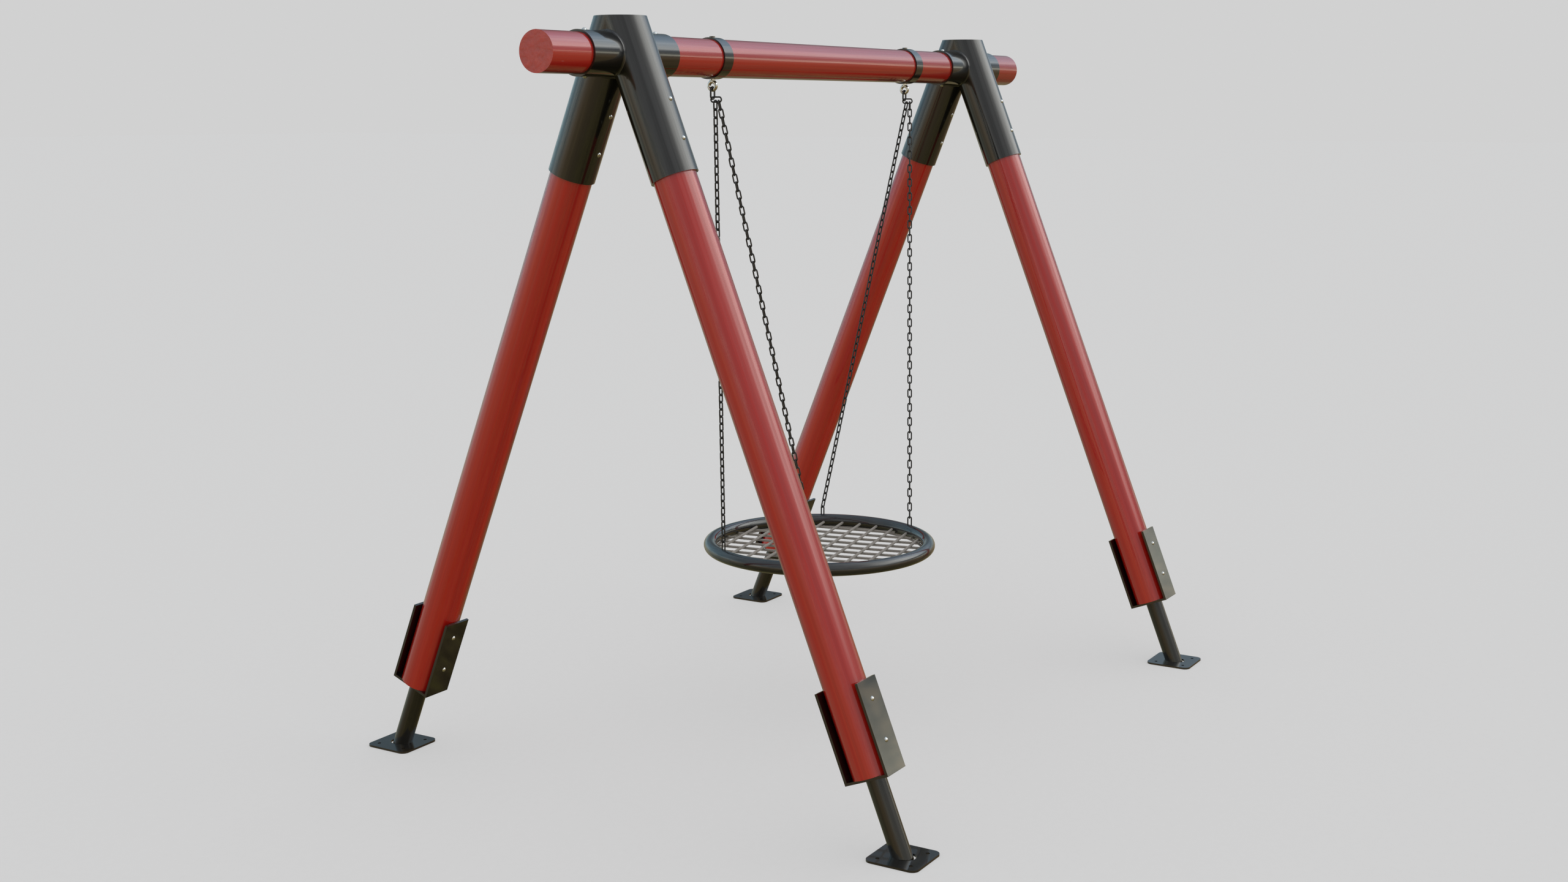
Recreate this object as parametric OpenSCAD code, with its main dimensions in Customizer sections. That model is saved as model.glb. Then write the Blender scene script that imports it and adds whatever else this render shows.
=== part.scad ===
// Nest swing: a round net seat on four chains, hung from a round beam
// that two A-frames carry. X runs along the beam, Y is the way it swings,
// Z is up, and the origin is on the ground under the middle of the beam.

/* [Frame] */
// Height of the beam's axis above the ground
beam_h = 2750; // [2400:10:3000]
// Length of the beam
beam_l = 3700; // [3400:10:4200]
// Diameter of the beam
beam_d = 144; // [120:1:150]
// Distance between the two A-frames
frame_span = 2750; // [2600:10:3000]
// Angle of each leg from the vertical
leg_angle = 21.8; // [21:0.1:23]
// Diameter of a leg
leg_d = 158; // [140:1:164]
// Height of the point where the leg axes cross, above the beam's axis
apex_rise = 140; // [138:1:150]

/* [Heads] */
// Wall of the head's sleeves
sleeve_wall = 8; // [5:0.5:9]
// Length of the sleeve round the beam
beam_sleeve_l = 508; // [460:1:560]
// Where a leg sleeve ends, measured down the leg from the apex
leg_sleeve_end = 611; // [570:1:700]
// Height of the head's flat top above the beam's axis, below the leg axes' crossing
head_top = 134; // [125:1:134]

/* [Feet] */
// Length of the shoe that holds the end of a leg
shoe_l = 336; // [300:1:380]
// Width of the shoe along the beam
shoe_w = 128; // [110:1:150]
// Thickness of the shoe's plates
shoe_t = 10; // [6:0.5:12]
// Where the shoe starts, measured down the leg from the apex
shoe_start = 2479; // [2300:1:2530]
// Diameter of the tube between shoe and ground plate
foot_d = 74; // [60:1:80]
// Side of the ground plate
plate_w = 204; // [180:1:240]
// Thickness of the ground plate
plate_t = 8; // [6:0.5:12]
// Spacing of the ground plate's bolt holes
plate_hole_gap = 130; // [110:1:140]
// Diameter of the ground plate's bolt holes
plate_hole_d = 14; // [10:0.5:16]

/* [Hangers] */
// Distance between the two hanger bands
hanger_span = 1574; // [1400:2:1700]
// Width of a hanger band
band_w = 60; // [40:1:70]
// Wall of a hanger band
band_wall = 6; // [4:0.5:8]
// Drop from the beam's axis to the middle of the eye
eye_drop = 102; // [102:1:110]
// How far the swing hangs to the right of the eyes, towards -Y
hang_shift = 20; // [16:0.5:26]

/* [Seat] */
// Outer diameter of the seat ring
ring_od = 1000; // [900:10:1200]
// Diameter of the seat ring's tube
ring_tube_d = 56; // [40:1:60]
// Drop from the beam's axis to the middle of the ring's tube
ring_drop = 2042; // [1900:1:2100]
// Angle of the chain fixings round the ring, from the beam's direction
fixing_angle = 28.3; // [20:0.1:40]
// Diameter of the net's rope
rope_d = 11; // [8:0.5:13]
// Distance between neighbouring ropes
rope_gap = 84; // [70:1:95]
// Ropes in each direction, an even number
rope_count = 10; // [6:2:10]
// Turn of the net in the ring
net_turn = 11; // [0:1:45]

/* [Chain] */
// Thickness of the chain's wire
wire = 6; // [5:0.5:6]
// Width of a chain link
link_w = 22; // [20:1:24]
// Inside length of a chain link, before it is fitted to the chain's length
link_pitch = 32; // [28:1:40]
// Height of a chain staple above the seat ring
staple_rise = 40; // [30:1:46]

/* [Hidden] */
$fn = 96;
gap = 0.3;
bolt_d = 10;
bolt_hole_d = 10.6;
dome_d = 18;
dome_h = 6;
pole_colour = "#b8302c";
steel_colour = "#2b2d2c";
bright_colour = "#d4d4d0";
rope_colour = "#9b9288";

apex_z = beam_h + apex_rise;
beam_r = beam_d / 2;
leg_r = leg_d / 2;
leg_sleeve_r = leg_r + sleeve_wall + gap;
beam_sleeve_r = beam_r + sleeve_wall;
// The leg stops just short of the sleeve round the beam
leg_start = apex_rise * cos(leg_angle) + beam_sleeve_r + 6;
leg_end = shoe_start + shoe_l - shoe_t - gap;
head_bolt_s = [leg_sleeve_end - 261, leg_sleeve_end - 116];
shoe_bolt_s = [shoe_start + 71, shoe_start + 220];
beam_bolt_x = beam_sleeve_l / 2 - 44;
shoe_face = leg_r + 1.6 + shoe_t;
foot_r = foot_d / 2;
foot_wall = 3.5;
foot_y = apex_z * tan(leg_angle);
plate_corner_r = 28;
slot_shift = 12;

band_r = beam_r + band_wall;
eye_r = 15.5;
eye_wire_r = 7;
shank_d = 14;
nut_w = 22;
nut_h = 4.5;
shackle_wire_r = 3.5;
shackle_half_w = 13;
shackle_l = 45;
pivot_z = beam_h - eye_drop - eye_r + eye_wire_r + shackle_wire_r + gap;
// The hanging link lies on its side, with the shackle in its left end
wire_r = wire / 2;
hang_link_r = 9.5;
hang_link_left = 2;
hang_link_right = hang_shift + 10;
hang_link_z = pivot_z - shackle_l - 1.8;
chain_gap = 15.4;
chain_top_z = hang_link_z - hang_link_r + wire_r + 2 * gap;
// How far each chain's links are turned from the beam's direction
link_angle = [[14, -14], [31, -14]];
first_link_angle = 14;
link_outer_cut = 7;
link_inner_cut = 1;

ring_r = (ring_od - ring_tube_d) / 2;
ring_tube_r = ring_tube_d / 2;
ring_wall = 3;
ring_z = beam_h - ring_drop;
fixing_x = ring_r * cos(fixing_angle);
fixing_y = ring_r * sin(fixing_angle);
staple_r = link_w / 2 - wire_r;
staple_z = ring_z + ring_tube_r + staple_rise - wire_r - staple_r;
staple_end = ring_z + ring_tube_r - 6;
// The last link's end bar fits under the staple's arch
chain_end_z = staple_z + sqrt(pow(staple_r - wire_r, 2) - wire_r * wire_r) - 1;

net_drop = 10;
net_z = ring_z - net_drop;
rope_r = rope_d / 2;
rope_offsets = [for (i = [0:rope_count - 1]) (i - (rope_count - 1) / 2) * rope_gap];
hoop_drop = net_drop + 3 * rope_r + 0.4;
// The edge rope lies against the ring's lower inside
hoop_r = ring_r - sqrt(pow(ring_tube_r + rope_r + 1, 2) - hoop_drop * hoop_drop);

// Each leg is drawn with its apex at the origin and its length down -Z,
// its outer side towards +Y. side_x and side_y say which corner it is at.
module leg_frame(side_x, side_y) {
    mirror([0, side_y < 0 ? 1 : 0, 0])
        translate([side_x * frame_span / 2, 0, apex_z])
            rotate([leg_angle, 0, 0])
                children();
}

module down_tube(from_s, to_s, r) {
    translate([0, 0, -to_s])
        cylinder(h = to_s - from_s, r = r);
}

// A hole or shank across the leg, in the plane of the A-frame
module cross_rod(s, d, length) {
    translate([0, 0, -s])
        rotate([90, 0, 0])
            cylinder(h = length, d = d, center = true, $fn = 48);
}

module dome() {
    sphere_r = (dome_d * dome_d / 4 + dome_h * dome_h) / (2 * dome_h);
    intersection() {
        translate([0, 0, dome_h - sphere_r])
            sphere(r = sphere_r);
        cylinder(h = dome_h + 1, d = dome_d, $fn = 48);
    }
}

// A bolt along Z with a domed head at each end, the second one a cap nut
module domed_bolt(half_length) {
    cylinder(h = 2 * half_length + 1, d = bolt_d, center = true, $fn = 48);
    for (end = [0, 1])
        mirror([0, 0, end])
            translate([0, 0, half_length])
                dome();
}

module beam() {
    color(pole_colour)
        difference() {
            translate([0, 0, beam_h])
                rotate([0, 90, 0])
                    cylinder(h = beam_l, r = beam_r, center = true);
            for (side = [-1, 1]) {
                for (end = [-1, 1])
                    translate([side * frame_span / 2 + end * beam_bolt_x, 0, beam_h])
                        cylinder(h = beam_d + 2, d = bolt_hole_d, center = true, $fn = 48);
                translate([side * hanger_span / 2, 0, beam_h])
                    cylinder(h = beam_d + 2, d = shank_d + 2 * gap, center = true, $fn = 48);
            }
        }
}

module leg(side_x, side_y) {
    color(pole_colour)
        leg_frame(side_x, side_y)
            difference() {
                down_tube(leg_start, leg_end, leg_r);
                for (s = concat(head_bolt_s, shoe_bolt_s))
                    cross_rod(s, bolt_hole_d, leg_d + 2);
            }
}

// Two sloping leg sleeves and a level beam sleeve, welded into one head
module head(side_x) {
    color(steel_colour)
        difference() {
            union() {
                for (side_y = [-1, 1])
                    leg_frame(side_x, side_y)
                        down_tube(-60, leg_sleeve_end, leg_sleeve_r);
                translate([side_x * frame_span / 2, 0, beam_h])
                    rotate([0, 90, 0])
                        cylinder(h = beam_sleeve_l, r = beam_sleeve_r, center = true);
            }
            for (side_y = [-1, 1])
                leg_frame(side_x, side_y) {
                    down_tube(leg_start, leg_sleeve_end + 1, leg_r + gap);
                    for (s = head_bolt_s)
                        cross_rod(s, bolt_hole_d, 2 * leg_sleeve_r + 4);
                }
            translate([side_x * frame_span / 2, 0, beam_h]) {
                rotate([0, 90, 0])
                    cylinder(h = beam_sleeve_l + 2, r = beam_r + gap, center = true);
                for (end = [-1, 1])
                    translate([end * beam_bolt_x, 0, 0])
                        cylinder(h = 2 * beam_sleeve_r + 4, d = bolt_hole_d, center = true, $fn = 48);
                translate([-200, -200, head_top])
                    cube([400, 400, 200]);
            }
        }
}

module head_bolts(side_x) {
    color(bright_colour)
        for (side_y = [-1, 1])
            leg_frame(side_x, side_y)
                for (s = head_bolt_s)
                    translate([0, 0, -s])
                        rotate([90, 0, 0])
                            domed_bolt(leg_sleeve_r + 0.1);
}

module beam_bolts(side_x) {
    color(bright_colour)
        for (end = [-1, 1])
            translate([side_x * frame_span / 2 + end * beam_bolt_x, 0, beam_h])
                domed_bolt(beam_sleeve_r + 0.1);
}

// A U-shaped shoe: one plate on each side of the leg and one under its end
module shoe(side_x, side_y) {
    color(steel_colour)
        leg_frame(side_x, side_y)
            difference() {
                translate([-shoe_w / 2, -shoe_face, -shoe_start - shoe_l])
                    cube([shoe_w, 2 * shoe_face, shoe_l]);
                translate([-shoe_w / 2 - 1, -shoe_face + shoe_t, -shoe_start - shoe_l + shoe_t])
                    cube([shoe_w + 2, 2 * (shoe_face - shoe_t), shoe_l]);
                for (s = shoe_bolt_s)
                    cross_rod(s, bolt_hole_d, 2 * shoe_face + 2);
            }
}

module shoe_bolts(side_x, side_y) {
    color(bright_colour)
        leg_frame(side_x, side_y)
            for (s = shoe_bolt_s)
                translate([0, 0, -s])
                    rotate([90, 0, 0])
                        domed_bolt(shoe_face + 0.1);
}

// The tube runs on down the leg's own line and is cut level with the ground
module foot(side_x, side_y) {
    color(steel_colour)
        difference() {
            leg_frame(side_x, side_y)
                difference() {
                    down_tube(shoe_start + shoe_l, shoe_start + shoe_l + 500, foot_r);
                    down_tube(shoe_start + shoe_l - 1, shoe_start + shoe_l + 501, foot_r - foot_wall);
                }
            translate([side_x * frame_span / 2 - 500, -2000, -1000])
                cube([1000, 4000, 1000]);
        }
}

// The round slot in the plate is longer than the tube on the outer side
module plate(side_x, side_y) {
    color(steel_colour)
        difference() {
            translate([side_x * frame_span / 2, side_y * foot_y, 0])
                rounded_plate();
            leg_frame(side_x, side_y)
                down_tube(shoe_start, shoe_start + shoe_l + 600, foot_r + 0.2);
            translate([side_x * frame_span / 2, side_y * (foot_y + slot_shift), -1])
                cylinder(h = plate_t + 2, r = foot_r);
            for (dx = [-1, 1])
                for (dy = [-1, 1])
                    translate([side_x * frame_span / 2 + dx * plate_hole_gap / 2,
                               side_y * foot_y + dy * plate_hole_gap / 2, -1])
                        cylinder(h = plate_t + 2, d = plate_hole_d, $fn = 48);
        }
}

module rounded_plate() {
    inner = plate_w - 2 * plate_corner_r;
    translate([-plate_w / 2, -inner / 2, 0])
        cube([plate_w, inner, plate_t]);
    translate([-inner / 2, -plate_w / 2, 0])
        cube([inner, plate_w, plate_t]);
    for (dx = [-1, 1])
        for (dy = [-1, 1])
            translate([dx * inner / 2, dy * inner / 2, 0])
                cylinder(h = plate_t, r = plate_corner_r);
}

module band(side_x) {
    color(steel_colour)
        translate([side_x * hanger_span / 2, 0, beam_h])
            difference() {
                rotate([0, 90, 0])
                    cylinder(h = band_w, r = band_r, center = true);
                rotate([0, 90, 0])
                    cylinder(h = band_w + 2, r = beam_r + 0.1, center = true);
                cylinder(h = 2 * band_r + 2, d = shank_d + 2 * gap, center = true, $fn = 48);
            }
}

module torus(r, wire_r) {
    rotate_extrude($fn = 96)
        translate([r, 0])
            circle(r = wire_r, $fn = 48);
}

// A bright eye under the beam, with its shank up through band and beam
module eye_bolt(side_x) {
    color(bright_colour)
        translate([side_x * hanger_span / 2, 0, beam_h]) {
            translate([0, 0, -eye_drop])
                rotate([0, 90, 0])
                    torus(eye_r, eye_wire_r);
            translate([0, 0, -eye_drop + eye_r])
                cylinder(h = eye_drop - eye_r + band_r + nut_h, d = shank_d, $fn = 48);
            translate([0, 0, -band_r - 4.1])
                cylinder(h = 4, d = 24);
        }
}

// A thin locking nut on top of the band
module eye_nut(side_x) {
    color(steel_colour)
        translate([side_x * hanger_span / 2, 0, beam_h + band_r + 0.1])
            difference() {
                cylinder(h = nut_h, d = nut_w, $fn = 6);
                translate([0, 0, -1])
                    cylinder(h = nut_h + 2, d = shank_d + gap, $fn = 48);
            }
}

// A round-wire link that stands in the XZ plane, its top end on the pivot
module shackle(side_x) {
    straight = shackle_l - 2 * shackle_half_w;
    color(steel_colour)
        translate([side_x * hanger_span / 2, 0, pivot_z - shackle_half_w])
            rotate([90, 0, 0]) {
                half_torus(shackle_half_w, shackle_wire_r);
                translate([0, -straight, 0])
                    mirror([0, 1, 0])
                        half_torus(shackle_half_w, shackle_wire_r);
                for (end = [-1, 1])
                    translate([end * shackle_half_w, -straight, 0])
                        rotate([-90, 0, 0])
                            cylinder(h = straight, r = shackle_wire_r, $fn = 48);
            }
}

module half_torus(r, wire_r) {
    rotate_extrude(angle = 180, $fn = 96)
        translate([r, 0])
            circle(r = wire_r, $fn = 48);
}

module hang_link(side_x) {
    straight = hang_link_right - hang_link_left;
    color(steel_colour)
        translate([side_x * hanger_span / 2, 0, hang_link_z]) {
            translate([0, -hang_link_left, 0])
                rotate([0, 90, 0])
                    half_torus(hang_link_r, wire_r);
            translate([0, -hang_link_right, 0])
                rotate([0, 90, 0])
                    mirror([0, 1, 0])
                        half_torus(hang_link_r, wire_r);
            for (end = [-1, 1])
                translate([0, -hang_link_right, end * hang_link_r])
                    rotate([-90, 0, 0])
                        cylinder(h = straight, r = wire_r, $fn = 48);
        }
}

function link_outline(half_l, half_w, cut) = [
    [half_w, half_l - cut], [half_w - cut, half_l],
    [cut - half_w, half_l], [-half_w, half_l - cut],
    [-half_w, cut - half_l], [cut - half_w, -half_l],
    [half_w - cut, -half_l], [half_w, cut - half_l]
];

module chain_link(inner_l) {
    rotate([90, 0, 0])
        linear_extrude(height = wire, center = true)
            difference() {
                polygon(link_outline(inner_l / 2 + wire, link_w / 2, link_outer_cut));
                polygon(link_outline(inner_l / 2, link_w / 2 - wire, link_inner_cut));
            }
}

// Flat-sided links in a straight line from hanging link to staple. Each
// turns by a quarter from the one before it.
module chain(side_x, side_y) {
    from = [side_x * hanger_span / 2, side_y * chain_gap / 2 - hang_shift, chain_top_z];
    to = [side_x * fixing_x, side_y * fixing_y - hang_shift, chain_end_z];
    way = to - from;
    length = norm(way);
    count = 2 * round((length / link_pitch - 1) / 2) + 1;
    inner_l = (length + (count - 1) * gap) / count;
    lean = acos(-way[2] / length);
    heading = atan2(way[1], way[0]);
    color(steel_colour)
        translate(from)
            rotate([0, 0, heading])
                rotate([0, -lean, 0])
                    for (i = [0:count - 1])
                        translate([0, 0, -inner_l / 2 - i * (inner_l - gap)])
                            rotate([0, 0, link_turn(side_x, side_y, i) - heading])
                                chain_link(inner_l);
}

// The first link lies closer to the beam's direction, across the hanging link
function link_turn(side_x, side_y, i) =
    let (turn = link_angle[side_x > 0 ? 1 : 0][side_y > 0 ? 1 : 0])
    i == 0 ? min(turn, first_link_angle) : turn + 90 * (i % 2);

// Moves to one of the ring's four chain fixings, with X across the last link
module fixing_frame(side_x, side_y) {
    translate([side_x * fixing_x, side_y * fixing_y - hang_shift, 0])
        rotate([0, 0, link_turn(side_x, side_y, 1)])
            children();
}

// A tall staple whose legs are welded into the top of the ring's tube
module staple(side_x, side_y) {
    color(steel_colour)
        fixing_frame(side_x, side_y) {
            translate([0, 0, staple_z])
                rotate([90, 0, 0])
                    half_torus(staple_r, wire_r);
            for (end = [-1, 1])
                translate([end * staple_r, 0, staple_end])
                    cylinder(h = staple_z - staple_end, r = wire_r, $fn = 48);
        }
}

module seat_ring() {
    color(steel_colour)
        difference() {
            translate([0, -hang_shift, ring_z])
                rotate_extrude($fn = 180)
                    translate([ring_r, 0])
                        difference() {
                            circle(r = ring_tube_r);
                            circle(r = ring_tube_r - ring_wall);
                        }
            for (side_x = [-1, 1])
                for (side_y = [-1, 1])
                    fixing_frame(side_x, side_y)
                        for (end = [-1, 1])
                            translate([end * staple_r, 0, ring_z])
                                cylinder(h = ring_tube_d, r = wire_r + 0.1, $fn = 48);
        }
}

module net_hoop() {
    color(rope_colour)
        translate([0, -hang_shift, ring_z - hoop_drop])
            torus(hoop_r, rope_r);
}

// Half the length of a rope at this offset, where its end just clears the ring
function rope_half(offset_y, z) =
    let (drop = max(0, ring_z - z - rope_r))
    let (reach = ring_r - sqrt(ring_tube_r * ring_tube_r - drop * drop) - 1)
    sqrt(reach * reach - pow(abs(offset_y) + rope_r, 2));

module net_ropes(turn, z) {
    color(rope_colour)
        translate([0, -hang_shift, z])
            rotate([0, 0, turn])
                for (offset_y = rope_offsets)
                    translate([0, offset_y, 0])
                        rotate([0, 90, 0])
                            cylinder(h = 2 * rope_half(offset_y, z), r = rope_r,
                                     center = true, $fn = 48);
}

beam();
leg(-1, -1);  // leg_near_right
leg(-1, 1);  // leg_near_left
leg(1, -1);  // leg_far_right
leg(1, 1);  // leg_far_left
head(-1);  // head_near
head(1);  // head_far
head_bolts(-1);  // head_bolts_near
head_bolts(1);  // head_bolts_far
beam_bolts(-1);  // beam_bolts_near
beam_bolts(1);  // beam_bolts_far
shoe(-1, -1);  // shoe_near_right
shoe(-1, 1);  // shoe_near_left
shoe(1, -1);  // shoe_far_right
shoe(1, 1);  // shoe_far_left
shoe_bolts(-1, -1);  // shoe_bolts_near_right
shoe_bolts(-1, 1);  // shoe_bolts_near_left
shoe_bolts(1, -1);  // shoe_bolts_far_right
shoe_bolts(1, 1);  // shoe_bolts_far_left
foot(-1, -1);  // foot_near_right
foot(-1, 1);  // foot_near_left
foot(1, -1);  // foot_far_right
foot(1, 1);  // foot_far_left
plate(-1, -1);  // plate_near_right
plate(-1, 1);  // plate_near_left
plate(1, -1);  // plate_far_right
plate(1, 1);  // plate_far_left
band(-1);  // band_near
band(1);  // band_far
eye_bolt(-1);  // eye_bolt_near
eye_bolt(1);  // eye_bolt_far
eye_nut(-1);  // eye_nut_near
eye_nut(1);  // eye_nut_far
shackle(-1);  // shackle_near
shackle(1);  // shackle_far
hang_link(-1);  // hang_link_near
hang_link(1);  // hang_link_far
chain(-1, -1);  // chain_near_right
chain(-1, 1);  // chain_near_left
chain(1, -1);  // chain_far_right
chain(1, 1);  // chain_far_left
staple(-1, -1);  // staple_near_right
staple(-1, 1);  // staple_near_left
staple(1, -1);  // staple_far_right
staple(1, 1);  // staple_far_left
seat_ring();
net_hoop();
net_ropes(net_turn, net_z + rope_r + 0.1);  // net_ropes_long
net_ropes(net_turn + 90, net_z - rope_r - 0.1);  // net_ropes_cross
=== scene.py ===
import math

import bpy
import numpy as np
from mathutils import Matrix, Vector


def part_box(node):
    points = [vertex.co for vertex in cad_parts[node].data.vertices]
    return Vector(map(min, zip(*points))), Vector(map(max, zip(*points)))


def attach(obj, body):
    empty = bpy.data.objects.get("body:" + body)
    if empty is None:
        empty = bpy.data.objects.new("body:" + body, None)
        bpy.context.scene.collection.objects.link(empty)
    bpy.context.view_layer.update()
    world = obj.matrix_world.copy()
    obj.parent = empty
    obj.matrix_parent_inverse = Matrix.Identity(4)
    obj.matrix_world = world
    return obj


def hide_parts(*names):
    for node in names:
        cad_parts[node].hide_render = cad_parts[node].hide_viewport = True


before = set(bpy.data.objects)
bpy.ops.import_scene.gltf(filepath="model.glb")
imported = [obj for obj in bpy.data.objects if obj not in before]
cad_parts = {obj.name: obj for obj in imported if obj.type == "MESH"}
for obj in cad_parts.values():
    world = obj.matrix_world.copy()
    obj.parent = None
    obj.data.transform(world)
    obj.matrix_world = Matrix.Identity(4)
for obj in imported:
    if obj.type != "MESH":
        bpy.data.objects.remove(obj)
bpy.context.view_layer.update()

# The beam runs along X and the seat swings along Y. Sizes are in metres, as in the frame.
ENDS = ("near", "far")
HANDS = {"right": -1, "left": 1}
CORNERS = [(end, hand) for end in ENDS for hand in HANDS]

# ---- camera
CAMERA_PLACE = (-6.847, -3.988, 2.559)
# Degrees below level, and degrees from Y towards X
CAMERA_DROP = 10.04
CAMERA_HEADING = 58.8
# Focal length and sensor width in millimetres
LENS = 42.98
SENSOR = 36.0
CLIP_END = 500.0

# ---- A-frames
# How far the legs lean from upright
LEG_ANGLE = math.radians(21.8)
# Height above the beam's axis where the axes of two legs meet
APEX_RISE = 0.140
# Outer radius of a head's leg sleeve
LEG_SLEEVE_R = 0.0873
# How far a bolt's dome stands out of the beam sleeve
BOLT_DOME = 0.0061
# Width of the weld round the beam sleeve
FILLET = 0.009
# How deep the weld's edges lie in the sleeves, and how deep its hidden back lies
FILLET_SINK = 0.0004
FILLET_DEPTH = 0.004
FILLET_STEPS_ROUND = 144
FILLET_STEPS_ACROSS = 8

# ---- chains
LINK_WIDTH = 0.022
LINK_WIRE = 0.006
LINK_PITCH = 0.032
# Clearance between a link and the next
LINK_GAP = 0.0003
LINK_ARC_STEPS = 8
LINK_SIDES = 10
# Distance between two chains where they share a hanging link
CHAIN_GAP = 0.0154
STAPLE_WIRE_R = 0.003
# How far each chain's links are turned from the beam's direction, in degrees
LINK_TURN = {("near", "right"): 14, ("near", "left"): -14,
             ("far", "right"): 31, ("far", "left"): -14}
# The most that the first link, the one round the hanging link, is turned
FIRST_LINK_TURN = 14

# ---- net
ROPE_R = 0.0055
ROPE_GAP = 0.084
ROPE_COUNT = 10
ROPE_SIDES = 24
# Distance between two rings of points along a rope
ROPE_STEP = 0.005
# A net rope's crowns against its plain radius, and a groove against a crown
ROPE_SWELL = 1.04
ROPE_GROOVE = 0.93
STRANDS = 3
# The length in which the strands wind once round the rope
STRAND_TURN = 0.045
# The net's turn from the beam's direction
NET_TURN = math.radians(11)
# How much lower the net is in the middle
NET_SAG = 0.003
# How far past the ring's inner edge the ropes' ends reach
ROPE_REACH = 0.0015
EDGE_ROPE_STEPS = 640

# ---- stage
BACKGROUND = 0.638
# The floor's own colour and glow, which together look as bright as the background
FLOOR_ALBEDO = 0.30
FLOOR_GLOW = 0.381
FLOOR_GRAIN = 0.004
FLOOR_HALF = 150.0
FLOOR_DROP = 0.0005


def middle(node):
    low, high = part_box(node)
    return (Vector(low) + Vector(high)) / 2


def size(node):
    low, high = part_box(node)
    return Vector(high) - Vector(low)


# ---------------------------------------------------------------- camera

def make_camera():
    """The viewing angle: low and to one side, looking along the beam."""
    data = bpy.data.cameras.new("camera")
    data.lens = LENS
    data.sensor_width = SENSOR
    data.clip_end = CLIP_END
    camera = bpy.data.objects.new("camera", data)
    bpy.context.collection.objects.link(camera)
    camera.location = CAMERA_PLACE
    camera.rotation_euler = (math.radians(90 - CAMERA_DROP), 0.0, math.radians(-CAMERA_HEADING))
    bpy.context.scene.camera = camera


# ---------------------------------------------------------------- mesh helpers

def add_object(name, verts, faces, material):
    """Puts a mesh with smooth faces and one material into the scene."""
    mesh = bpy.data.meshes.new(name)
    mesh.from_pydata(verts, [], faces)
    mesh.polygons.foreach_set("use_smooth", [True] * len(mesh.polygons))
    mesh.materials.append(material)
    obj = bpy.data.objects.new(name, mesh)
    bpy.context.collection.objects.link(obj)
    return obj


class Tubes:
    """Collects swept tubes into one mesh, with a UV map in metres along and turns round."""

    def __init__(self):
        self.verts, self.faces, self.uvs = [], [], []

    def add(self, points, radius, sides, closed=False, section=None):
        """Sweeps a round tube; section(angle, along), if given, scales its radius."""
        points = np.asarray(points, float)
        count = len(points)
        if closed:
            tangents = np.roll(points, -1, 0) - np.roll(points, 1, 0)
        else:
            tangents = np.gradient(points, axis=0)
        tangents /= np.linalg.norm(tangents, axis=1)[:, None]
        steps = np.linalg.norm(np.diff(points, axis=0), axis=1)
        along = np.concatenate([[0.0], np.cumsum(steps)])
        start = len(self.verts)
        normal = np.cross(tangents[0], [0.0, 0.0, 1.0])
        if np.linalg.norm(normal) < 0.1:
            normal = np.cross(tangents[0], [0.0, 1.0, 0.0])
        for i in range(count):
            normal = normal - tangents[i] * normal.dot(tangents[i])
            normal /= np.linalg.norm(normal)
            side = np.cross(tangents[i], normal)
            for k in range(sides):
                a = 2 * math.pi * k / sides
                r = radius if section is None else radius * section(a, along[i])
                self.verts.append(points[i] + r * (math.cos(a) * normal + math.sin(a) * side))
        rings = count if closed else count - 1
        for i in range(rings):
            j = (i + 1) % count
            u0 = along[i]
            u1 = along[i] + np.linalg.norm(points[j] - points[i])
            for k in range(sides):
                m = (k + 1) % sides
                self.faces.append((start + i * sides + k, start + i * sides + m,
                                   start + j * sides + m, start + j * sides + k))
                v0, v1 = k / sides, (k + 1) / sides
                self.uvs += [(u0, v0), (u0, v1), (u1, v1), (u1, v0)]
        if not closed:
            for i, order in ((0, -1), (count - 1, 1)):
                self.faces.append(tuple(start + i * sides + k for k in range(sides))[::order])
                self.uvs += [(along[i], 0.0)] * sides

    def build(self, name, material):
        obj = add_object(name, [tuple(v) for v in self.verts], self.faces, material)
        layer = obj.data.uv_layers.new(name="along")
        layer.data.foreach_set("uv", np.array(self.uvs, np.float32).ravel())
        obj.data.update()
        return obj


# ---------------------------------------------------------------- materials

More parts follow.
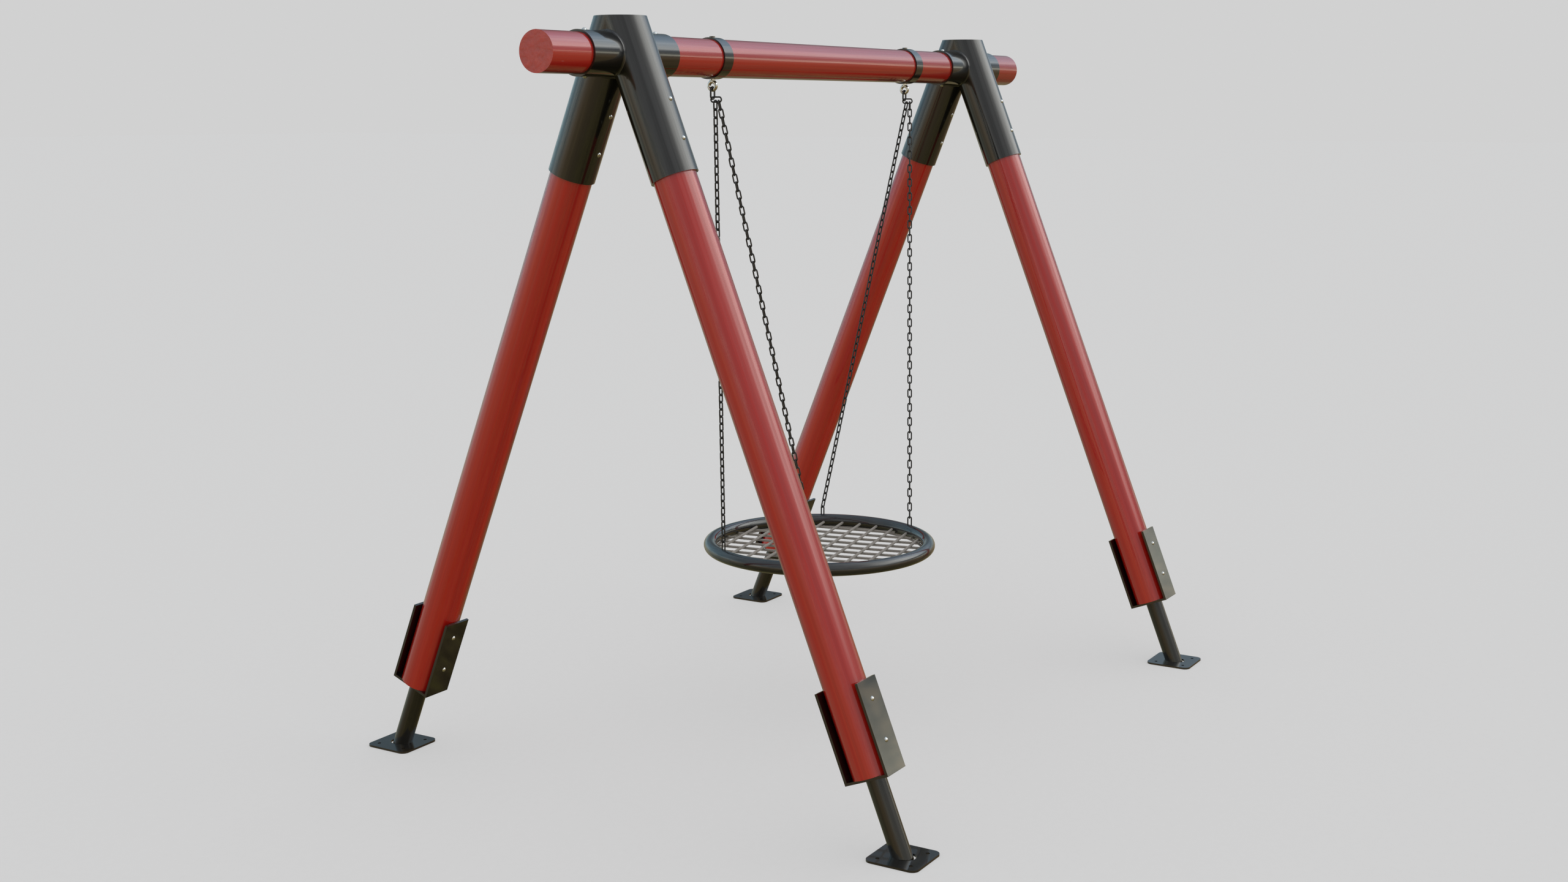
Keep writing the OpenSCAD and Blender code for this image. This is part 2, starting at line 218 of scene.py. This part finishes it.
class Nodes:
    """Short names for building a node tree."""

    def __init__(self, tree):
        self.tree = tree

    def node(self, kind, **inputs):
        made = self.tree.nodes.new(kind)
        for key, value in inputs.items():
            made.inputs[key.replace("_", " ")].default_value = value
        return made

    def join(self, source, target):
        self.tree.links.new(source, target)

    def maths(self, operation, *values):
        """A Math node; each value is a number or another node's output."""
        made = self.tree.nodes.new("ShaderNodeMath")
        made.operation = operation
        for socket, value in zip(made.inputs, values):
            if isinstance(value, (int, float)):
                socket.default_value = value
            else:
                self.join(value, socket)
        return made.outputs[0]

    def noise(self, vector, scale, detail, rough):
        made = self.node("ShaderNodeTexNoise", Scale=scale, Detail=detail, Roughness=rough)
        self.join(vector, made.inputs["Vector"])
        return made.outputs["Fac"]

    def ramp(self, factor, stops):
        """A colour for each factor, from stops of (place, colour)."""
        made = self.tree.nodes.new("ShaderNodeValToRGB")
        elements = made.color_ramp.elements
        while len(elements) < len(stops):
            elements.new(0.5)
        for element, (place, colour) in zip(elements, stops):
            element.position = place
            element.color = (*colour, 1.0)
        self.join(factor, made.inputs["Fac"])
        return made.outputs["Color"]

    def rise(self, height, start, end):
        """0 below one elevation in degrees, 1 above the other."""
        made = self.node("ShaderNodeMapRange", From_Min=math.sin(math.radians(start)),
                         From_Max=math.sin(math.radians(end)))
        made.interpolation_type = "SMOOTHSTEP"
        self.join(height, made.inputs["Value"])
        return made.outputs["Result"]

    def band(self, height, rise_start, rise_end, fall_start, fall_end):
        """1 in a band of elevations in degrees, 0 below and above it."""
        return self.maths("SUBTRACT", self.rise(height, rise_start, rise_end),
                          self.rise(height, fall_start, fall_end))

    def grey(self, value):
        """One value as a grey colour."""
        made = self.node("ShaderNodeCombineColor")
        for socket in made.inputs:
            self.join(value, socket)
        return made.outputs["Color"]

    def spread(self, noise, low, high):
        """Stretches a noise, which stays mostly between 0.3 and 0.7, to go from low to high."""
        made = self.node("ShaderNodeMapRange", From_Min=0.3, From_Max=0.7, To_Min=low, To_Max=high)
        self.join(noise, made.inputs["Value"])
        return made.outputs["Result"]

    def mix(self, factor, a, b, blend="MIX"):
        """Blends colour b over colour a. Sockets 6, 7 and 2 are a Mix node's colour ones."""
        made = self.tree.nodes.new("ShaderNodeMix")
        made.data_type = "RGBA"
        made.blend_type = blend
        if isinstance(factor, float):
            made.inputs[0].default_value = factor
        else:
            self.join(factor, made.inputs[0])
        for socket, value in ((made.inputs[6], a), (made.inputs[7], b)):
            if isinstance(value, tuple):
                socket.default_value = (*value, 1.0)
            else:
                self.join(value, socket)
        return made.outputs[2]

    def lobe(self, direction, azimuth, elevation, sharpness):
        """1 towards an azimuth and elevation in degrees, falling off smoothly round them."""
        dot = self.tree.nodes.new("ShaderNodeVectorMath")
        dot.operation = "DOT_PRODUCT"
        self.join(direction, dot.inputs[0])
        a, e = math.radians(azimuth), math.radians(elevation)
        dot.inputs[1].default_value = (math.cos(a) * math.cos(e), math.sin(a) * math.cos(e),
                                       math.sin(e))
        fall = self.maths("MULTIPLY_ADD", dot.outputs["Value"], sharpness, -sharpness)
        return self.maths("EXPONENT", fall)


class Maker(Nodes):
    """A node material built on a Principled shader."""

    def __init__(self, name):
        self.material = bpy.data.materials.new(name)
        self.material.use_nodes = True
        super().__init__(self.material.node_tree)
        self.shader = self.tree.nodes["Principled BSDF"]

    def coordinates(self, tilt=0.0, scale=(1, 1, 1)):
        """Places in the frame, turned about X by tilt and then stretched by scale."""
        source = self.tree.nodes.new("ShaderNodeTexCoord")
        turned = self.node("ShaderNodeMapping", Rotation=(tilt, 0, 0))
        self.join(source.outputs["Object"], turned.inputs["Vector"])
        stretched = self.node("ShaderNodeMapping", Scale=scale)
        self.join(turned.outputs["Vector"], stretched.inputs["Vector"])
        return stretched.outputs["Vector"]

    def along(self):
        """The swept tubes' own map: metres along, and turns round."""
        source = self.tree.nodes.new("ShaderNodeUVMap")
        source.uv_map = "along"
        return source.outputs["UV"]

    def bump(self, height, strength, distance, after=None):
        made = self.node("ShaderNodeBump", Strength=strength, Distance=distance)
        self.join(height, made.inputs["Height"])
        if after is not None:
            self.join(after, made.inputs["Normal"])
        return made.outputs["Normal"]

    def finish(self, colour=None, rough=None, normal=None, **constants):
        """Joins what varies to the shader, and sets what is the same all over on its sockets."""
        if colour is not None:
            self.join(colour, self.shader.inputs["Base Color"])
        if rough is not None:
            self.join(rough, self.shader.inputs["Roughness"])
        if normal is not None:
            self.join(normal, self.shader.inputs["Normal"])
        for key, value in constants.items():
            self.shader.inputs[key.replace("_", " ")].default_value = value
        return self.material


def red_paint(name, tilt, axis):
    """Gloss red over a planed pole: streaks run along the axis that tilt turns the pole to."""
    m = Maker(name)
    fine_scale = [150.0] * 3
    fine_scale[axis] = 0.8
    broad_scale = [42.0] * 3
    broad_scale[axis] = 0.35
    streak = m.noise(m.coordinates(tilt, fine_scale), scale=1.0, detail=5.0, rough=0.6)
    broad = m.noise(m.coordinates(tilt, broad_scale), scale=1.0, detail=3.0, rough=0.5)
    cloud = m.noise(m.coordinates(), scale=2.2, detail=3.0, rough=0.5)
    red = m.ramp(broad, [(0.3, (0.41, 0.008, 0.004)), (0.55, (0.48, 0.011, 0.005)),
                         (0.75, (0.54, 0.016, 0.007))])
    red = m.mix(m.spread(streak, 0.0, 0.22), red, (0.27, 0.006, 0.004))
    red = m.mix(m.spread(cloud, 0.0, 0.10), red, (0.56, 0.035, 0.022))
    wave = m.bump(broad, strength=0.30, distance=0.004)
    m.join(wave, m.shader.inputs["Coat Normal"])
    grain = m.bump(streak, strength=0.10, distance=0.0006, after=wave)
    return m.finish(red, m.spread(streak, 0.16, 0.30), grain, Coat_Weight=1.0, Coat_Roughness=0.03)


def black_coat(name, base, film, rough, coat):
    """Gloss coat: a faint waviness, a thin dusty film and small rubbed marks."""
    m = Maker(name)
    place = m.coordinates()
    cloud = m.noise(place, scale=5.0, detail=5.0, rough=0.6)
    peel = m.noise(place, scale=160.0, detail=2.0, rough=0.5)
    rub = m.noise(place, scale=60.0, detail=6.0, rough=0.7)
    colour = m.mix(m.spread(cloud, 0.0, 0.5), base, film)
    colour = m.mix(m.spread(rub, 0.0, 0.2), colour, film)
    normal = m.bump(peel, strength=0.03, distance=0.0005)
    return m.finish(colour, m.spread(cloud, rough - 0.04, rough + 0.08), normal,
                    Coat_Weight=coat, Coat_Roughness=0.03)


def bright_metal(name, tint, smooth, dull):
    """Bare metal with cloudy stains and fine scratches; smooth and dull are its roughnesses."""
    m = Maker(name)
    cloud = m.noise(m.coordinates(), scale=90.0, detail=4.0, rough=0.6)
    scratch = m.noise(m.coordinates(scale=(1.0, 1.0, 9.0)), scale=700.0, detail=2.0, rough=0.5)
    stain = tuple(0.72 * c for c in tint)
    colour = m.mix(m.spread(cloud, 0.0, 0.6), tint, stain)
    return m.finish(colour, m.spread(scratch, smooth, dull),
                    m.bump(scratch, strength=0.05, distance=0.0003), Metallic=1.0)


def rope_weave(name):
    """Braided polyester: yarns wind both ways round the rope, with painted shade in the grooves
    between them.
    """
    yarns_round = 6
    yarn_pitch = 0.012
    m = Maker(name)
    parts = m.node("ShaderNodeSeparateXYZ")
    m.join(m.along(), parts.inputs["Vector"])
    round_angle = m.maths("MULTIPLY", parts.outputs["Y"], 2 * math.pi * yarns_round)
    waves = []
    for sign in (1.0, -1.0):
        run = m.maths("MULTIPLY_ADD", parts.outputs["X"], sign * 2 * math.pi / yarn_pitch,
                      round_angle)
        waves.append(m.maths("SINE", run))
    crown = m.maths("MULTIPLY_ADD", m.maths("MAXIMUM", *waves), 0.5, 0.5)
    fibre = m.noise(m.coordinates(), scale=900.0, detail=3.0, rough=0.6)
    cloud = m.noise(m.coordinates(), scale=14.0, detail=4.0, rough=0.6)
    # Painted shade: the grooves between the yarns are coloured far darker than the yarns' crowns.
    colour = m.ramp(crown, [(0.2, (0.085, 0.075, 0.062)), (0.8, (0.31, 0.29, 0.255))])
    colour = m.mix(m.spread(cloud, 0.0, 0.4), colour, (0.37, 0.34, 0.31))
    colour = m.mix(m.spread(fibre, 0.0, 0.35), colour, (0.15, 0.13, 0.11))
    normal = m.bump(crown, strength=0.5, distance=0.0009)
    normal = m.bump(fibre, strength=0.25, distance=0.0003, after=normal)
    return m.finish(colour, m.spread(fibre, 0.55, 0.80), normal, Sheen_Weight=0.2)


def make_materials():
    return {
        "beam": red_paint("red_beam", tilt=0.0, axis=0),
        "leg_right": red_paint("red_leg_right", tilt=LEG_ANGLE, axis=2),
        "leg_left": red_paint("red_leg_left", tilt=-LEG_ANGLE, axis=2),
        "steel": black_coat("black_steel", base=(0.0055, 0.0055, 0.0055),
                            film=(0.014, 0.0135, 0.012), rough=0.16, coat=1.0),
        "foot": black_coat("foot_coat", base=(0.012, 0.0105, 0.007),
                           film=(0.022, 0.019, 0.013), rough=0.2, coat=0.6),
        "ring": black_coat("ring_coat", base=(0.009, 0.010, 0.012),
                           film=(0.02, 0.021, 0.022), rough=0.16, coat=1.0),
        "chain": black_coat("chain_coat", base=(0.014, 0.014, 0.014),
                            film=(0.05, 0.048, 0.044), rough=0.38, coat=0.1),
        "chrome": bright_metal("chrome_eye", tint=(0.86, 0.86, 0.84), smooth=0.08, dull=0.20),
        "bolt": bright_metal("zinc_bolt", tint=(0.80, 0.80, 0.77), smooth=0.14, dull=0.32),
        "rope": rope_weave("net_rope"),
    }


# ---------------------------------------------------------------- CAD nodes

def finish_node(name, material, broken_edge=0.0):
    """Gives a CAD node its material and, where a width is given, softly broken edges."""
    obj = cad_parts[name]
    for item in obj.material_slots:
        item.material = material
    if broken_edge:
        edge = obj.modifiers.new("edge", "BEVEL")
        edge.width = broken_edge
        edge.segments = 2
        edge.limit_method = "ANGLE"
        edge.angle_limit = math.radians(50)


def finish_nodes(mats):
    finish_node("beam", mats["beam"], 0.0025)
    for end in ENDS:
        finish_node(f"head_{end}", mats["steel"], 0.0012)
        finish_node(f"head_bolts_{end}", mats["bolt"])
        finish_node(f"beam_bolts_{end}", mats["bolt"])
        finish_node(f"band_{end}", mats["steel"], 0.0010)
        finish_node(f"eye_bolt_{end}", mats["chrome"])
        finish_node(f"eye_nut_{end}", mats["steel"], 0.0012)
        finish_node(f"shackle_{end}", mats["chain"])
        finish_node(f"hang_link_{end}", mats["chain"])
    for end, hand in CORNERS:
        finish_node(f"leg_{end}_{hand}", mats[f"leg_{hand}"], 0.0015)
        finish_node(f"shoe_{end}_{hand}", mats["steel"], 0.0015)
        finish_node(f"shoe_bolts_{end}_{hand}", mats["bolt"])
        finish_node(f"foot_{end}_{hand}", mats["foot"])
        finish_node(f"plate_{end}_{hand}", mats["steel"], 0.0012)
        finish_node(f"staple_{end}_{hand}", mats["chain"])
    finish_node("seat_ring", mats["ring"])


# ---------------------------------------------------------------- chains

def link_path(inner):
    """A link's centreline in the XZ plane, centred on the origin; inner is its inside length."""
    half_w = (LINK_WIDTH - LINK_WIRE) / 2
    half_straight = (inner + LINK_WIRE) / 2 - half_w
    points = []
    for end in (1, -1):
        for i in range(LINK_ARC_STEPS + 1):
            a = math.pi * i / LINK_ARC_STEPS
            points.append(Vector((end * half_w * math.cos(a), 0.0,
                                  end * (half_straight + half_w * math.sin(a)))))
    return points


def chain_ends(end, hand):
    """Where a chain's inside length starts in the hanging link, and where it ends in its staple."""
    hanger = middle(f"hang_link_{end}")
    seat = middle("seat_ring")
    staple = middle(f"staple_{end}_{hand}")
    hanger_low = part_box(f"hang_link_{end}")[0][2]
    staple_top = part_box(f"staple_{end}_{hand}")[1][2]
    top = Vector((hanger.x, seat.y + HANDS[hand] * CHAIN_GAP / 2,
                  hanger_low + LINK_WIRE + LINK_GAP))
    foot = Vector((staple.x, staple.y, staple_top - 2 * STAPLE_WIRE_R - LINK_GAP))
    return top, foot


def make_chain(end, hand, mats):
    """Round-wire links in a straight line between hanging link and staple."""
    top, foot = chain_ends(end, hand)
    way = foot - top
    length = way.length
    # An odd number, so that the last link crosses its staple as the first crosses its hanging link
    count = 2 * round((length / LINK_PITCH - 1) / 2) + 1
    inner = (length + (count - 1) * LINK_GAP) / count
    lean = math.acos(-way.z / length)
    heading = math.atan2(way.y, way.x)
    shape = link_path(inner)
    hang = (Matrix.Translation(top) @ Matrix.Rotation(heading, 4, "Z")
            @ Matrix.Rotation(-lean, 4, "Y"))
    tubes = Tubes()
    for i in range(count):
        turn = LINK_TURN[end, hand] + 90 * (i % 2)
        if i == 0:
            turn = min(turn, FIRST_LINK_TURN)
        place = (hang @ Matrix.Translation((0, 0, -inner / 2 - i * (inner - LINK_GAP)))
                 @ Matrix.Rotation(math.radians(turn) - heading, 4, "Z"))
        tubes.add([place @ p for p in shape], LINK_WIRE / 2, LINK_SIDES, closed=True)
    links = tubes.build(f"chain_links_{end}_{hand}", mats["chain"])
    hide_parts(f"chain_{end}_{hand}")
    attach(links, "swing")


# ---------------------------------------------------------------- net

def strands(per_metre):
    """A stranded rope's section, which turns per_metre times in a metre."""
    def section(angle, along):
        crown = abs(math.cos(STRANDS / 2 * (angle - 2 * math.pi * along * per_metre)))
        return ROPE_GROOVE + (1 - ROPE_GROOVE) * crown
    return section


def rope_points(offset, turn, centre, reach):
    """One straight rope of the net, a little low in the middle."""
    half = math.sqrt(reach * reach - (abs(offset) + ROPE_R) ** 2)
    count = int(2 * half / ROPE_STEP)
    points = []
    for i in range(count + 1):
        x = -half + 2 * half * i / count
        sag = NET_SAG * (1.0 - (x * x + offset * offset) / (reach * reach))
        points.append((centre.x + x * math.cos(turn) - offset * math.sin(turn),
                       centre.y + x * math.sin(turn) + offset * math.cos(turn), centre.z - sag))
    return points


def make_ropes(name, turn, mats):
    """One family of parallel ropes across the inside of the ring."""
    ring = size("seat_ring")
    reach = ring.x / 2 - ring.z + ROPE_REACH
    centre = middle(f"net_ropes_{name}")
    tubes = Tubes()
    for i in range(ROPE_COUNT):
        offset = (i - (ROPE_COUNT - 1) / 2) * ROPE_GAP
        tubes.add(rope_points(offset, turn, centre, reach), ROPE_SWELL * ROPE_R, ROPE_SIDES,
                  section=strands(1 / STRAND_TURN))
    ropes = tubes.build(f"net_{name}", mats["rope"])
    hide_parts(f"net_ropes_{name}")
    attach(ropes, "swing")


def make_edge_rope(mats):
    """The rope that runs round under the ends of the others."""
    centre = middle("net_hoop")
    hoop_r = size("net_hoop").x / 2 - ROPE_R
    path = []
    for i in range(EDGE_ROPE_STEPS):
        a = 2 * math.pi * i / EDGE_ROPE_STEPS
        path.append((centre.x + hoop_r * math.cos(a), centre.y + hoop_r * math.sin(a), centre.z))
    around = 2 * math.pi * hoop_r
    # A whole number of turns, so that the strands meet where the rope closes
    turns = round(around / STRAND_TURN)
    tubes = Tubes()
    tubes.add(path, ROPE_R, ROPE_SIDES, closed=True, section=strands(turns / around))
    hoop = tubes.build("net_edge_rope", mats["rope"])
    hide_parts("net_hoop")
    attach(hoop, "swing")


# ---------------------------------------------------------------- heads' welds

def leg_surface(y, z):
    """How far out along X the leg sleeves' surface lies, at this place off the beam's axis."""
    best = 0.0
    for hand in HANDS.values():
        away = hand * y * math.cos(LEG_ANGLE) + (z - APEX_RISE) * math.sin(LEG_ANGLE)
        if abs(away) < LEG_SLEEVE_R:
            best = max(best, math.sqrt(LEG_SLEEVE_R * LEG_SLEEVE_R - away * away))
    return best


def fillet_section(angle, sleeve_r):
    """The weld's section at one angle round the beam sleeve, as places along X and radii."""
    c, s = math.cos(angle), math.sin(angle)
    out_r = sleeve_r + FILLET
    corner = np.array([leg_surface(sleeve_r * c, sleeve_r * s), sleeve_r])
    on_beam = corner + np.array([FILLET, -FILLET_SINK])
    on_leg = np.array([leg_surface(out_r * c, out_r * s) - FILLET_SINK, out_r])
    section = []
    for k in range(FILLET_STEPS_ACROSS + 1):
        t = k / FILLET_STEPS_ACROSS
        section.append((1 - t) ** 2 * on_beam + 2 * t * (1 - t) * corner + t * t * on_leg)
    section.append(corner - FILLET_DEPTH)
    return section


def make_head_fillet(end, side, tag, mats):
    """The weld that blends one half of the level beam sleeve into the two leg sleeves."""
    x_mid = middle(f"beam_bolts_{end}").x
    beam_z = middle("beam").z
    sleeve_r = size(f"beam_bolts_{end}").z / 2 - BOLT_DOME
    verts, faces = [], []
    for i in range(FILLET_STEPS_ROUND):
        a = 2 * math.pi * i / FILLET_STEPS_ROUND
        for x, r in fillet_section(a, sleeve_r):
            verts.append((x_mid + side * x, r * math.cos(a), beam_z + r * math.sin(a)))
    row = len(verts) // FILLET_STEPS_ROUND
    for i in range(FILLET_STEPS_ROUND):
        j = (i + 1) % FILLET_STEPS_ROUND
        for k in range(row):
            m = (k + 1) % row
            face = (i * row + k, j * row + k, j * row + m, i * row + m)
            faces.append(face if side > 0 else face[::-1])
    weld = add_object(f"head_fillet_{end}_{tag}", verts, faces, mats["steel"])
    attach(weld, "frame")


# ---------------------------------------------------------------- stage

def sky_ramp(n, height, stops):
    """A colour for each height of a direction, from straight down to straight up."""
    place = n.maths("MULTIPLY_ADD", height, 0.5, 0.5)
    return n.ramp(place, [(0.5 + 0.5 * math.sin(math.radians(angle)), colour)
                          for angle, colour in stops])


def mirrored_sky(n, direction, height):
    """What gloss surfaces mirror: an overcast sky over brown ground, brighter on one side."""
    sky = sky_ramp(n, height, [
        (-90, (0.12, 0.09, 0.055)), (-38, (0.15, 0.11, 0.065)), (-24, (0.26, 0.20, 0.11)),
        (-11, (0.40, 0.30, 0.16)), (-5, (0.56, 0.42, 0.26)), (0, (0.62, 0.54, 0.42)),
        (5, (0.68, 0.67, 0.62)), (13, (0.44, 0.45, 0.45)), (35, (0.43, 0.44, 0.45)),
        (60, (0.50, 0.53, 0.57)), (90, (0.54, 0.58, 0.63))])
    banks = n.spread(n.noise(direction, scale=3.0, detail=6.0, rough=0.6), 0.0, 1.0)
    wisps = n.spread(n.noise(direction, scale=45.0, detail=4.0, rough=0.6), 0.0, 1.0)
    cloud = n.maths("MULTIPLY", n.maths("MULTIPLY_ADD", banks, 0.8, 0.6),
                    n.maths("MULTIPLY_ADD", wisps, 0.4, 0.8))
    sky = n.mix(1.0, sky, n.grey(cloud), "MULTIPLY")

    # Small plants and stones on the ground close by, and broken cloud low in the sky
    plants = n.ramp(n.noise(direction, scale=150.0, detail=5.0, rough=0.65), [
        (0.40, (0.20, 0.17, 0.20)), (0.50, (1.1, 1.1, 1.1)), (0.60, (2.3, 2.9, 1.2))])
    close_by = n.maths("SUBTRACT", 1.0, n.rise(height, -36, -22))
    sky = n.mix(close_by, sky, n.mix(1.0, sky, plants, "MULTIPLY"))
    low_clouds = n.ramp(n.noise(direction, scale=140.0, detail=4.0, rough=0.6), [
        (0.40, (0.26, 0.42, 0.50)), (0.50, (0.80, 0.92, 1.0)), (0.60, (2.0, 1.75, 1.45))])
    sky = n.mix(n.band(height, 0, 2, 7, 11), sky, n.mix(1.0, sky, low_clouds, "MULTIPLY"))

    # Darker, tinted stretches: azimuth, elevation, sharpness and colour
    for azimuth, elevation, sharpness, colour in (
            (38, 22, 2.6, (0.42, 0.56, 0.66)),
            (36, 18, 40.0, (0.50, 0.37, 0.31)),
            (-25, -12, 4.0, (0.60, 0.54, 0.48))):
        sky = n.mix(n.lobe(direction, azimuth, elevation, sharpness), sky, colour, "MULTIPLY")
    # The bright side, and a pale streak below it
    glow = n.maths("MULTIPLY", n.lobe(direction, -52, 28, 6.0), n.rise(height, 13, 21))
    sky = n.mix(n.maths("MULTIPLY", glow, cloud), sky, (2.4, 2.4, 2.28), "ADD")
    low_sun = n.maths("MULTIPLY", n.lobe(direction, -36, 2, 30.0), n.band(height, 0, 2, 3, 6))
    sky = n.mix(n.maths("MULTIPLY", low_sun, cloud), sky, (1.05, 1.02, 0.82), "ADD")
    # Two bluer stretches
    sky = n.mix(n.lobe(direction, -12, 37, 12.0), sky, (0.0, 0.16, 0.36), "ADD")
    return n.mix(n.lobe(direction, 92, 10, 5.0), sky, (0.0, 0.14, 0.22), "ADD")


def soft_light(n, direction, height):
    """The light that falls on everything: even, a little stronger from above and one side."""
    soft = sky_ramp(n, height, [
        (-90, (0.36, 0.35, 0.33)), (0, (0.52, 0.52, 0.52)), (90, (0.80, 0.81, 0.83))])
    return n.mix(n.lobe(direction, -45, 35, 2.0), soft, (0.40, 0.39, 0.37), "ADD")


def make_world():
    """Soft light all round, a sky for gloss surfaces to mirror, and a plain background."""
    world = bpy.data.worlds.new("studio")
    bpy.context.scene.world = world
    world.use_nodes = True
    n = Nodes(world.node_tree)
    n.tree.nodes.clear()
    direction = n.node("ShaderNodeTexCoord").outputs["Generated"]
    parts = n.node("ShaderNodeSeparateXYZ")
    n.join(direction, parts.inputs["Vector"])
    height = parts.outputs["Z"]
    light, mirrored, plain = [n.node("ShaderNodeBackground") for _ in range(3)]
    n.join(soft_light(n, direction, height), light.inputs["Color"])
    n.join(mirrored_sky(n, direction, height), mirrored.inputs["Color"])
    plain.inputs["Color"].default_value = (BACKGROUND, BACKGROUND, BACKGROUND, 1.0)

    rays = n.node("ShaderNodeLightPath")
    result = light.outputs[0]
    for ray, surface in (("Is Glossy Ray", mirrored), ("Is Camera Ray", plain)):
        pick = n.node("ShaderNodeMixShader")
        n.join(rays.outputs[ray], pick.inputs["Fac"])
        n.join(result, pick.inputs[1])
        n.join(surface.outputs[0], pick.inputs[2])
        result = pick.outputs[0]
    out = n.node("ShaderNodeOutputWorld")
    n.join(result, out.inputs["Surface"])


def floor_paint(name):
    """Matt, pale and faintly glowing, with a grain that can hardly be seen."""
    m = Maker(name)
    grain = m.noise(m.coordinates(), scale=30.0, detail=4.0, rough=0.6)
    colour = m.ramp(grain, [(0.3, (FLOOR_ALBEDO - FLOOR_GRAIN,) * 3),
                            (0.7, (FLOOR_ALBEDO + FLOOR_GRAIN,) * 3)])
    return m.finish(colour, Roughness=1.0, Specular_IOR_Level=0.0, Emission_Strength=FLOOR_GLOW,
                    Emission_Color=(1.0, 1.0, 1.0, 1.0))


def make_floor():
    """A plain pale floor as bright as the background, so that no horizon shows."""
    half = FLOOR_HALF
    corners = [(-half, -half, 0), (half, -half, 0), (half, half, 0), (-half, half, 0)]
    floor = add_object("floor", corners, [(0, 1, 2, 3)], floor_paint("pale_floor"))
    floor.location.z = -FLOOR_DROP
    floor.visible_glossy = False
    floor.visible_diffuse = False


make_camera()
materials = make_materials()
finish_nodes(materials)
for end, hand in CORNERS:
    make_chain(end, hand, materials)
make_ropes("long", NET_TURN, materials)
make_ropes("cross", NET_TURN + math.pi / 2, materials)
make_edge_rope(materials)
for end in ENDS:
    # The two sides are named as they lie on the near head
    make_head_fillet(end, -1, "outer", materials)
    make_head_fillet(end, 1, "inner", materials)
make_world()
make_floor()
bpy.context.scene.view_settings.view_transform = "Standard"
